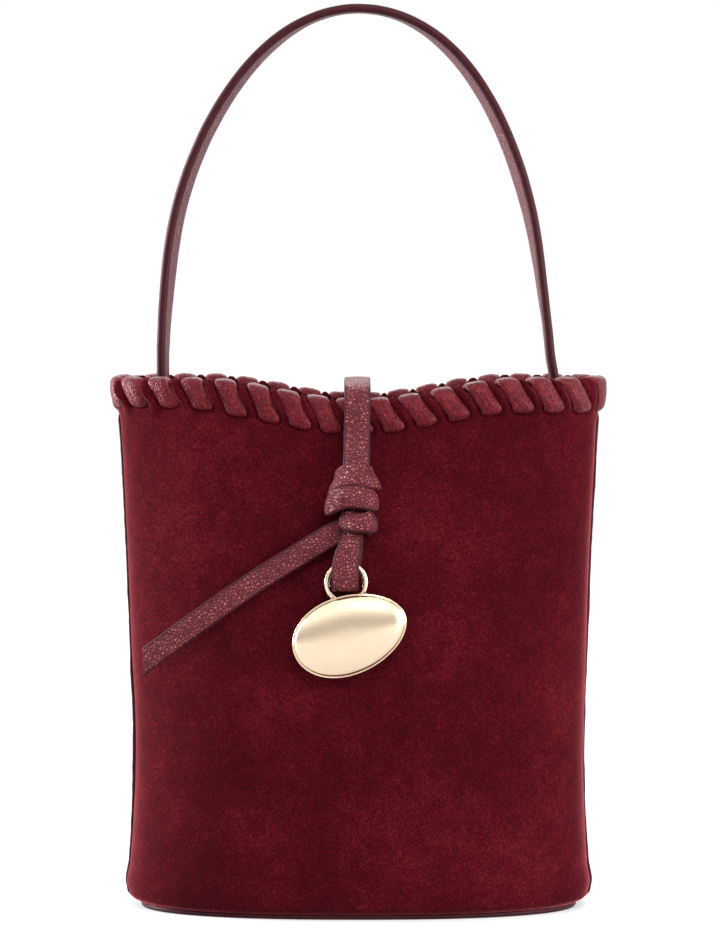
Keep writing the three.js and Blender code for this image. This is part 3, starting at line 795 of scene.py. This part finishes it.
def build_lace(name, seed, turned):
    """One half's lace. Each point keeps how far it is from the lace's middle, for the material."""
    stations = lace_stations()
    for _ in range(2):
        stations[1:-1] = (stations[:-2] + 2 * stations[1:-1] + stations[2:]) / 4
    length = run_along(stations[:, :3])
    even = np.arange(0, length[-1], 0.55)
    stations = np.stack([np.interp(even, length, column) for column in stations.T], axis=1)
    way = np.gradient(stations[:, [1, 2]], axis=0)
    way /= np.linalg.norm(way, axis=1)[:, None] + 1e-9
    section = lace_section()
    sections, edges = [], []
    for i, (at, out, above, wide) in enumerate(stations):
        normal = np.array([-way[i, 1], way[i, 0]])
        row = []
        for u, t in section:
            lift = 0.5 * LACE_THICK * t
            if t > 0:
                lift += LACE_PLUMP * (1 - abs(u) ** 2.6)
                lift += 0.17 * wave((u * 5.0, i * 0.06, seed * 7), 1.5, seed) * (1 - u**4)
                lift += 0.24 * wave((u * 3.0, i * 0.2, seed * 3), 2.6, seed + 8)
            row.append((at + 0.5 * wide * u, out + normal[0] * lift, above + normal[1] * lift))
            edges.append(abs(u))
        sections.append(rim_point(*np.array(row).T))
    obj = sweep(name, np.array(sections) * (HALF_TURN if turned else 1), [LACE])
    attribute = obj.data.attributes.new("edge", "FLOAT", "POINT")
    attribute.data.foreach_set("value", np.array(edges + [0.0, 0.0], np.float32))
    return obj


# ---- Wall, lining and lacing ----

front = build_wall("front_suede", 1.0, False)
back = build_wall("back_suede", 2.0, True)
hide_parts("front_panel")
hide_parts("back_panel")
front_cloth = build_lining("front_lining_cloth", 3.0, False)
back_cloth = build_lining("back_lining_cloth", 4.0, True)
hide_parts("front_lining")
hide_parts("back_lining")
for piece, name in ((front, "suede"), (back, "suede"), (front_cloth, "lining"), (back_cloth, "lining")):
    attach(piece, "bag")

front_lace = build_lace("front_lace", 1.0, False)
back_lace = build_lace("back_lace", 2.0, True)
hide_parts("front_rim_lace")
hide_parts("back_rim_lace")
for piece in (front_lace, back_lace):
    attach(piece, "bag")


# ---- Seams and base ----


def build_seam_strip(side):
    """Edge-painted strip, not quite straight, that stands proud of the side seam up to the lacing."""
    sections = []
    for z in np.linspace(2.6, RIM_SIDE - 0.4, 240):
        face = wall_point(0.0, z, 0)[0]
        proud = 1.15 + 0.3 * wave((0, z, side * 40), 15, side + 3) + 0.12 * wave((0, z, side), 4, 6)
        proud = proud * (1 - smoothstep((z - SEAM_STRIP_TOP) / 5)) - 0.1
        sway = 0.25 * wave((z, 0, side * 9), 22, 1)
        section = [(proud - 0.7 + 0.7 * a, 0.72 * u) for a, u in arc(0, 0, 1, -90, 90, 9)]
        section += [(-2.6, 0.72), (-2.6, -0.72)]
        sections.append([(side * (face + out), sway + y, z) for out, y in section])
    return sweep("seam_strip_" + ("left" if side < 0 else "right"), sections, [EDGE])


for side, node in ((-1, "left_seam_strip"), (1, "right_seam_strip")):
    strip = build_seam_strip(side)
    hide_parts(node)
    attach(strip, "bag")


def plan_ring(width, depth, z):
    """Points round the bag's plan at one height."""
    turn = spread_turn(PLAN_COLUMNS)
    return np.stack([
        width * signed_power(np.cos(turn), 2 / PLAN_POWER),
        depth * signed_power(np.sin(turn), 2 / PLAN_POWER),
        np.full(PLAN_COLUMNS, z),
    ], axis=1)


def build_base():
    """Leather-covered base with a rounded painted edge and a shallow crowned underside."""
    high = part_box("base_panel")[1]
    width, depth, thick = high.x / MM, high.y / MM, high.z / MM
    sections = [plan_ring(width * share, depth * share, 0.5 * (1 - share)) for share in (0.3, 0.7, 0.93)]
    for out, up in arc(0, 1, 1, -90, 90, 9):
        inset = 0.55 * (1 - out)
        sections.append(plan_ring(width - inset, depth - inset, thick / 2 * up))
    sections += [plan_ring(width - 4, depth - 4, thick), plan_ring(width - 30, depth - 20, thick)]
    obj = sweep("base_sole", sections, [BASE_LEATHER, EDGE])
    for polygon in obj.data.polygons:
        polygon.material_index = int(2 <= polygon.index // PLAN_COLUMNS <= 11)
    return obj


base = build_base()
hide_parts("base_panel")
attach(base, "bag")


# The two nodes of the CAD that stay get their finish.
for node, material in (("base_lining", CLOTH), ("base_board", BASE_LEATHER)):
    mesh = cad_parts[node].data
    mesh.materials.clear()
    mesh.materials.append(material)

# ---- Handle ----


def arch_row(t):
    """One row of the strap's middle line, `t` going from 0 at the left leg to pi at the right."""
    c, s = math.cos(t), math.sin(t)
    x = -ARCH_HALF * signed_power(c, 2 / ARCH_POWER)
    z = ARCH_BASE + ARCH_RISE * s ** (2 / ARCH_POWER)
    outward = np.array([
        -signed_power(c, 2 - 2 / ARCH_POWER) / ARCH_HALF,
        s ** (2 - 2 / ARCH_POWER) / ARCH_RISE,
    ])
    outward /= np.linalg.norm(outward)
    height = (z - ARCH_BASE) / ARCH_RISE
    # The two legs twist and bow unequally, in degrees and mm.
    if x > 0:
        twist = -1.0 - 16.5 * smoothstep((height - 0.1) / 0.5)
        bow = 1.1 * (1 - smoothstep(height / 0.4)) * smoothstep(height / 0.05)
    else:
        twist = 7.0 + 8.0 * smoothstep(height / 0.35)
        bow = 0.0
    twist = math.radians(twist * smoothstep(abs(x) / 52))
    x *= 1 - 0.013 * bell((height - 0.25) / 0.17)
    x -= HANDLE_SWAY * math.sin(math.pi * height**0.85) ** 1.5 + bow
    x, z = (x, z) - outward * HANDLE_THICK / 2
    return (x, 0, z, math.sin(twist), math.cos(twist), 0, HANDLE_WIDTH)


def build_handle():
    """The handle in one length, from sewn end to sewn end."""
    start = math.asin(((HANDLE_PIVOT - 5 - ARCH_BASE) / ARCH_RISE) ** (ARCH_POWER / 2))
    rows = [(-x, 0, z, 0, 1, 0, HANDLE_WIDTH) for x, z in HANDLE_END_LINE]
    rows += [arch_row(t) for t in np.linspace(start, math.pi - start, 61)]
    rows += [(x, 0, z, 0, 1, 0, HANDLE_WIDTH) for x, z in reversed(HANDLE_END_LINE)]
    return strap(
        "handle_strap", rows, HANDLE_THICK, HANDLE_LEATHER, step=1.1, crown=0.15, uneven=0.16, seed=3.0,
    )


handle = build_handle()
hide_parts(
    "handle_outer_layer", "handle_inner_layer", "handle_core", "handle_end_left", "handle_end_right",
)
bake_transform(handle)


def build_patch(side, node):
    """Stitched leather patch over the sewn strap end. It leans out with the wall."""
    low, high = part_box(node)
    inner = min(abs(low.x), abs(high.x)) / MM
    rows = []
    for z, width in PATCH_OUTLINE:
        rows.append((side * (inner + 0.8 + 0.9 * smoothstep((z - 171) / 14)), 0, z, 0, 1, 0, width))
    pieces = [strap("patch", rows, PATCH_THICK, PATCH_LEATHER, step=0.8, seed=side + 2)]
    corners = []
    for y, z in (
        (-PATCH_STITCH_HALF, PATCH_STITCH_LOW), (PATCH_STITCH_HALF, PATCH_STITCH_LOW),
        (PATCH_STITCH_HALF, PATCH_STITCH_HIGH), (-PATCH_STITCH_HALF, PATCH_STITCH_HIGH),
    ):
        corners.append((side * (inner - 0.1 + 0.85 * smoothstep((z - 171) / 14)), y, z))
    for start, end in zip(corners, corners[1:] + corners[:1]):
        pieces += stitches("thread", start, end, (-side, 0, 0), pitch=2.8, length=2.0)
    return join("handle_patch_" + ("l" if side < 0 else "r"), pieces)


for side, node in ((-1, "handle_patch_left"), (1, "handle_patch_right")):
    patch = build_patch(side, node)
    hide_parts(node)
    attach(patch, "bag")

# ---- Closure strap, knot, ring and charm ----


def level(rows):
    """Rows of a strap whose width lies along X, the strap's own width if a row gives none."""
    return [(x, y, z, 1, 0, 0, width[0] if width else STRAP_WIDTH) for x, y, z, *width in rows]


def build_closure_strap():
    """From its sewn end on the back over the rim, down through the knot, round the ring and up again."""
    rows = [
        (-0.6, 45.6, 160), (-0.6, 44.5, 172), (-0.6, 42.0, 198), (-0.6, 42.0, 206), (-0.6, 42.2, 212),
        (-0.6, 41.9, 220), (-0.6, 41.6, 227), (-0.6, 40.5, 231.2), (-0.6, 37.4, 234.0), (-0.6, 20, 236.2),
        (-0.6, 0, 236.8), (-0.6, -20, 236.5), (-0.6, -36.2, 235.6), (-0.6, -40.8, 233.4),
        (-0.6, -42.5, 229.4), (-0.7, -43.4, 219), (-0.8, -45.4, 210), (-0.9, -48.0, 204.5),
        (-1.1, -49.2, 199), (-1.3, -49.4, 187), (-1.5, -49.4, 179, 9.5), (-2.3, -50.6, 172.5, 8.6),
        (-3.6, -53.0, 167.4, 9.4), (-5.0, -55.0, 161.5, 11.4), (-5.9, -55.5, 155.5, 12.0),
    ]
    for t in np.radians((20, 50, 80, 110, 140, 165)):
        rows.append((-5.9, LOOP_Y - LOOP_RADIUS * math.cos(t), LOOP_Z - LOOP_RADIUS * math.sin(t), 12.0))
    rows += [
        (-5.2, -46.9, 152, 11.0), (-3.6, -46.8, 160, 10.4), (-2.2, -46.6, 169, 9.0), (-1.8, -46.6, 177, 9),
        (-1.5, -46.6, 184), (-1.3, -46.6, 193),
    ]
    return strap(
        "closure_strap_leather", level(rows), STRAP_THICK, STRAP_LEATHER, step=0.8, crown=0.18, seed=5.0,
    )


closure_strap = build_closure_strap()
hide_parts("closure_strap", "closure_anchor")
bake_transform(closure_strap)


def build_anchor_thread():
    """The rectangle of stitching that holds the strap's end to the back."""
    outward = (0, 1, 0.09)
    pieces = []
    for x in (ANCHOR_LEFT, ANCHOR_RIGHT):
        pieces += stitches("thread", (x, *ANCHOR_FOOT), (x, *ANCHOR_HEAD), outward, pitch=3.0, length=2.2)
    for end in (ANCHOR_FOOT, ANCHOR_HEAD):
        left, right = (ANCHOR_LEFT, *end), (ANCHOR_RIGHT, *end)
        pieces += stitches("thread", left, right, outward, pitch=2.7, length=2.0)
    return join("anchor_stitching", pieces)


anchor_thread = build_anchor_thread()
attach(anchor_thread, "bag")


def turn_rows(spec, angles):
    """Rows of one turn round the knot. Its sides droop below its front, and its top edge leans in."""
    rows = []
    for t in np.radians(angles):
        c, s = math.cos(t), math.sin(t)
        x = spec["x"] + spec["half_x"] * signed_power(c, 2 / spec["power"])
        y = spec["y"] + spec["half_y"] * signed_power(s, 2 / spec["power"])
        droop = spec["left"] if c < 0 else spec["right"]
        z = spec["z"] - droop * abs(c) ** 1.8 - spec["back"] * max(s, 0)
        outward = np.array([c / spec["half_x"], s / spec["half_y"]])
        outward /= np.linalg.norm(outward)
        lean = spec["lean"] + spec["side_lean"] * abs(c) ** 2
        rows.append((x, y, z, -outward[0] * lean, -outward[1] * lean, 1, spec["width"]))
    return rows


def cut_upright(obj, point, outward):
    """Cuts a strap's end off along a plane and closes it."""
    shape = bmesh.new()
    shape.from_mesh(obj.data)
    everything = shape.verts[:] + shape.edges[:] + shape.faces[:]
    cut = bmesh.ops.bisect_plane(shape, geom=everything, plane_co=point, plane_no=outward, clear_outer=True)
    edges = [item for item in cut["geom_cut"] if isinstance(item, bmesh.types.BMEdge)]
    made = bmesh.ops.edgeloop_fill(shape, edges=edges)
    for face in made["faces"]:
        face.material_index = 1
    bmesh.ops.recalc_face_normals(shape, faces=shape.faces[:])
    shape.to_mesh(obj.data)
    shape.free()


def build_knot():
    """Two turns round the doubled strap, a short tuck at the neck, a curl beside it, and the tail."""
    upper = dict(
        x=-1.75, y=-48.6, z=197.2, half_x=8.5, half_y=2.7, power=2.3,
        left=4.4, right=2.4, back=2, lean=0.34, side_lean=0.3, width=10.6,
    )
    lower = dict(
        x=-3.0, y=-48.8, z=187.6, half_x=9.8, half_y=5.0, power=2.8,
        left=3.8, right=1.9, back=1, lean=0.07, side_lean=0.12, width=10.6,
    )
    neck = dict(
        x=-0.2, y=-48.9, z=176.2, half_x=6.3, half_y=4.9, power=2.6,
        left=-1.6, right=0.6, back=0, lean=0.20, side_lean=0.1, width=9.2,
    )
    full = np.linspace(96, 444, 44)
    part = np.linspace(140, 430, 40)
    pieces = [
        strap(
            "turn", turn_rows(upper, full), 1.7, STRAP_LEATHER, edge=STRAP_LEATHER,
            crown=0.7, step=0.6, seed=10.0, uneven=0.2,
        ),
        strap(
            "turn", turn_rows(lower, full), 2.3, STRAP_LEATHER, crown=0.85, step=0.6, seed=11.0, uneven=0.2,
        ),
        strap(
            "neck", turn_rows(neck, part), 2.1, STRAP_LEATHER, crown=1.0, step=0.6, seed=13.0, uneven=0.4,
        ),
    ]
    curl = [
        (2.6, -52.6, 180.6, 0.35, -0.1, 1, 6.0), (4.4, -52.2, 177.0, 0.5, -0.1, 0.9, 7.0),
        (5.6, -50.4, 174.6, 0.45, -0.2, 0.9, 8.0), (5.4, -47.6, 173.6, 0.35, -0.1, 0.9, 8.6),
        (3.0, -45.8, 174.0, 0.2, 0, 1, 9.0), (-2.0, -45.2, 175.0, 0, 0, 1, 9.4),
    ]
    pieces.append(strap("curl", curl, 2.1, STRAP_LEATHER, crown=0.5, step=0.6, seed=14.0, uneven=0.3))

    def tail_row(x, y, z, lean, width=10.3):
        t = math.radians(lean)
        return (x, y, z, -math.sin(t), 0, math.cos(t), width)

    tail = [
        tail_row(5, -45.4, 175.6, 8), tail_row(-3, -46.2, 174.6, 14), tail_row(-8.5, -48.2, 172.0, 25),
        tail_row(-14, -49.0, 169.2, 30),
        tail_row(-26, -48.4, 161.9, 32), tail_row(-42.4, -47.6, 151.6, 33), tail_row(-58, -46.8, 140.9, 35.5),
        tail_row(-73.8, -45.3, 129.6, 37), tail_row(-86, -43.6, 120.4, 36),
        tail_row(-95, -42.3, 113.7, 36), tail_row(-104, -41.4, 107.0, 36),
    ]
    tail_piece = strap("tail", tail, 2.0, STRAP_LEATHER, crown=0.12, step=0.7, seed=16.0, uneven=0.2)
    cut_upright(tail_piece, Vector((-94.8, -42.3, 113.6)) * MM, Vector((-1, 0.05, -0.04)).normalized())
    pieces.append(tail_piece)
    return join("knot_leather", pieces)


knot = build_knot()
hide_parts("knot_strip")
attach(knot, "closure")


def build_ring():
    """Round wire ring with a fine joint at its hidden top."""
    along_y = np.array([0, 1, 0])
    sections = []
    for turn in np.linspace(0, 2 * math.pi, 97):
        away = np.array([math.sin(turn), 0, math.cos(turn)])
        joint = 0.08 * bell(min(turn, 2 * math.pi - turn) / 0.03)
        centre = np.array(RING_CENTRE) + away * RING_RADIUS
        sections.append(wire_section(centre, away, along_y, RING_WIRE - joint, 20))
    return sweep("ring_wire", sections, [GOLD], caps=False)


ring = build_ring()
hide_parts("charm_ring")
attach(ring, "ring")


def pebble_ring(share, y):
    """Points round the pebble's outline, shrunk to a share of it. It is a little fuller at its left."""
    turn = spread_turn(144)
    x = CHARM_HALF[0] * share * np.cos(turn)
    z = CHARM_HALF[1] * share * np.sin(turn) * (1 - 0.085 * np.cos(turn))
    return np.stack([
        CHARM_CENTRE[0] + x * math.cos(CHARM_TILT) - z * math.sin(CHARM_TILT),
        np.full(len(turn), y),
        CHARM_CENTRE[2] + x * math.sin(CHARM_TILT) + z * math.cos(CHARM_TILT),
    ], axis=1)


# Share of the outline and height of the groove and the narrow flange where the two shells meet.
SEAM_PROFILE = (
    (0.966, 0.66), (0.971, 0.5), (0.977, 0.5), (0.984, 0.6), (0.991, 0.6),
    (0.997, 0.45), (1.0, 0.25), (1.0, 0.06), (0.95, 0.05),
)


def build_shell(name, facing, depth):
    """Half of the pebble: a polished dome that ends in a groove and a narrow flange at the seam."""
    shares = np.sin(np.radians(np.linspace(3, 90, 34)))
    profile = [(DOME_SHARE * share, DOME_FOOT + depth * (1 - share**2.5) ** 0.6) for share in shares]
    profile += SEAM_PROFILE
    sections = [pebble_ring(share, CHARM_CENTRE[1] + facing * lift) for share, lift in profile]
    return sweep(name, sections, [GOLD])


def build_eyelet():
    """The wire eye on the rear shell that hangs on the ring."""
    along_x = np.array([1, 0, 0])
    sections = []
    for turn in np.linspace(0, 2 * math.pi, 49):
        away = np.array([0, math.sin(turn), math.cos(turn)])
        centre = np.array(RING_CENTRE) - (0, 0, RING_RADIUS) + away * EYELET_RADIUS
        sections.append(wire_section(centre, away, along_x, EYELET_WIRE, 14))
    return sweep("eyelet", sections, [GOLD], caps=False)


shell = build_shell("charm_front", -1, CHARM_FRONT - 0.4)
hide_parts("charm_front_shell")
rear = join("charm_rear", [build_shell("charm_rear", 1, CHARM_BACK - 0.3), build_eyelet()])
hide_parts("charm_back_shell")
for piece in (shell, rear):
    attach(piece, "charm")

# ---- Floor, light and camera ----

# In metres, as Blender takes them.
FLOOR_RADIUS = 40.0
BAG_MIDDLE = (0, 0, 0.13)
BAG_UPPER = (0, 0, 0.17)
BAG_RIM = (0, 0, 0.25)
CAMERA_PLACE = Vector((0.0006, -1.86, 0.3018))
CAMERA_TARGET = Vector((0.0006, 0, 0.1988))
CAMERA_LENS = 160.7


def build_floor():
    """A disc that glows a little, so that it goes white towards the background."""
    mesh = bpy.data.meshes.new("floor")
    points = [(FLOOR_RADIUS * math.cos(t), FLOOR_RADIUS * math.sin(t), 0) for t in spread_turn(48)]
    mesh.from_pydata(points, [], [tuple(range(len(points)))])
    s = Shader("studio_floor")
    grain = s.noise(60, detail=2)
    mesh.materials.append(s.finish(
        Base_Color=s.mix(s.grey(grain, 0.3, 0.7), rgb(0.29, 0.29, 0.29), rgb(0.31, 0.31, 0.31)),
        Roughness=0.8, Emission_Color=rgb(1, 1, 1), Emission_Strength=0.46,
    ))
    return add("floor", mesh)


build_floor()


def aim(obj, place, target):
    """Puts a light or a camera at its place, looking at its target."""
    obj.location = place
    obj.rotation_euler = (Vector(target) - Vector(place)).to_track_quat("-Z", "Y").to_euler()


def softbox(name, place, target, size, watts):
    data = bpy.data.lights.new(name, "AREA")
    data.shape = "RECTANGLE"
    data.size, data.size_y = size
    data.energy = watts
    aim(add(name, data), place, target)


softbox("side_left", (-1.6, 0.3, 0.5), BAG_MIDDLE, size=(0.5, 1.2), watts=78)
softbox("side_right", (1.6, 0.1, 0.5), BAG_MIDDLE, size=(0.5, 1.2), watts=14)
softbox("front_right", (1.35, -0.85, 0.35), BAG_MIDDLE, size=(0.5, 0.7), watts=21)
softbox("key", (0.35, -1.5, 1.45), BAG_UPPER, size=(0.7, 0.5), watts=22)
softbox("rear", (0.0, 1.3, 1.3), BAG_RIM, size=(1.6, 0.8), watts=12)


def build_world():
    """A studio that brightens upwards, and is plain white where the camera sees it."""
    world = bpy.data.worlds.new("studio")
    world.use_nodes = True
    nodes, links = world.node_tree.nodes, world.node_tree.links
    direction = nodes.new("ShaderNodeSeparateXYZ")
    links.new(nodes.new("ShaderNodeTexCoord").outputs["Generated"], direction.inputs[0])
    brightness = nodes.new("ShaderNodeMapRange")
    brightness.interpolation_type = "SMOOTHSTEP"
    for key, value in (("From Min", 0.12), ("From Max", 0.55), ("To Min", 0.88), ("To Max", 1.9)):
        brightness.inputs[key].default_value = value
    links.new(direction.outputs["Z"], brightness.inputs["Value"])
    seen = nodes.new("ShaderNodeMath")
    seen.operation = "MAXIMUM"
    links.new(brightness.outputs[0], seen.inputs[0])
    links.new(nodes.new("ShaderNodeLightPath").outputs["Is Camera Ray"], seen.inputs[1])
    links.new(seen.outputs[0], nodes["Background"].inputs["Strength"])
    nodes["Background"].inputs["Color"].default_value = rgb(1, 1, 1)
    return world


def build_camera():
    data = bpy.data.cameras.new("camera")
    data.lens = CAMERA_LENS
    data.sensor_width = 36.0
    data.clip_end = 3 * FLOOR_RADIUS
    camera = add("camera", data)
    aim(camera, CAMERA_PLACE, CAMERA_TARGET)
    return camera


scene = bpy.context.scene
scene.world = build_world()
scene.camera = build_camera()
scene.view_settings.view_transform = "Standard"
scene.view_settings.look = "None"
